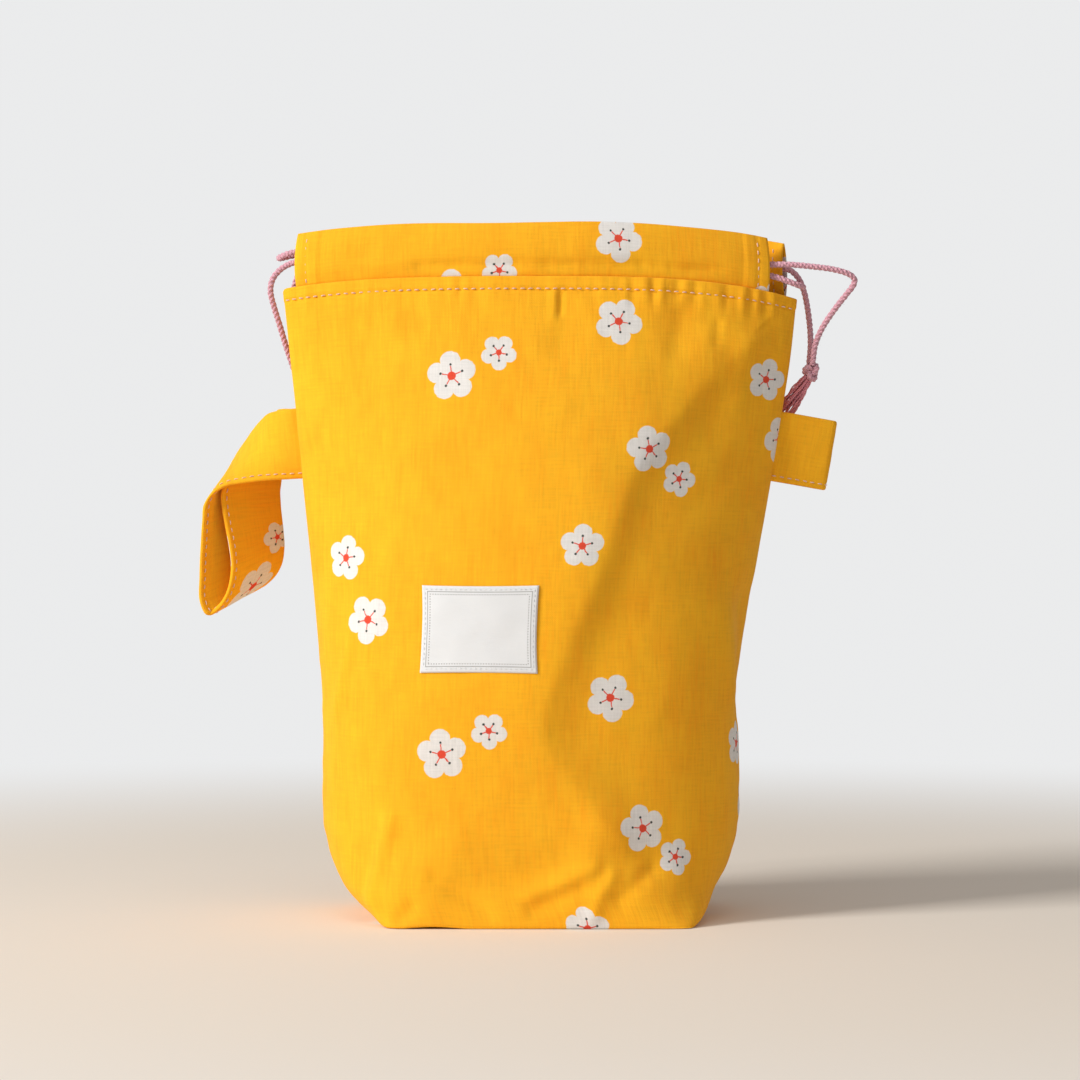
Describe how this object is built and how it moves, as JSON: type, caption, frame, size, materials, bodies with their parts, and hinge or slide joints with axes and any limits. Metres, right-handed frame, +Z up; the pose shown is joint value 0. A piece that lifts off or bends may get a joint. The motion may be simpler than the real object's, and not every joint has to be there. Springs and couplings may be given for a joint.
{
  "type": "drawstring pouch",
  "caption": "Boxed-bottom drawstring pouch of printed cotton with lining, cord channels, knotted cords, wrist strap, side tab and sewn label.",
  "frame": {"origin": "middle of the base's underside, where the pouch stands", "axes": "+Z up through the mouth, -Y out of the front, which carries the label, +X towards the side tab"},
  "size_m": [0.2298, 0.0868, 0.2396],
  "materials": {
    "printed_cotton": "matt plain-woven cotton, printed",
    "lining_cotton": "matt plain-woven cotton",
    "pink_cord": "twisted acrylic cord, slight sheen",
    "woven_label": "satin-woven polyester tape"
  },
  "bodies": {
    "root": {"outer_bag": "printed_cotton", "lining": "lining_cotton", "front_channel": "printed_cotton", "back_channel": "printed_cotton", "wrist_strap": "printed_cotton", "side_tab": "printed_cotton", "label": "woven_label", "drawcord_right": "pink_cord", "drawcord_left": "pink_cord", "knot_right": "pink_cord", "knot_left": "pink_cord", "tassel_right": "pink_cord", "tassel_left": "pink_cord"}
  },
  "joints": []
}
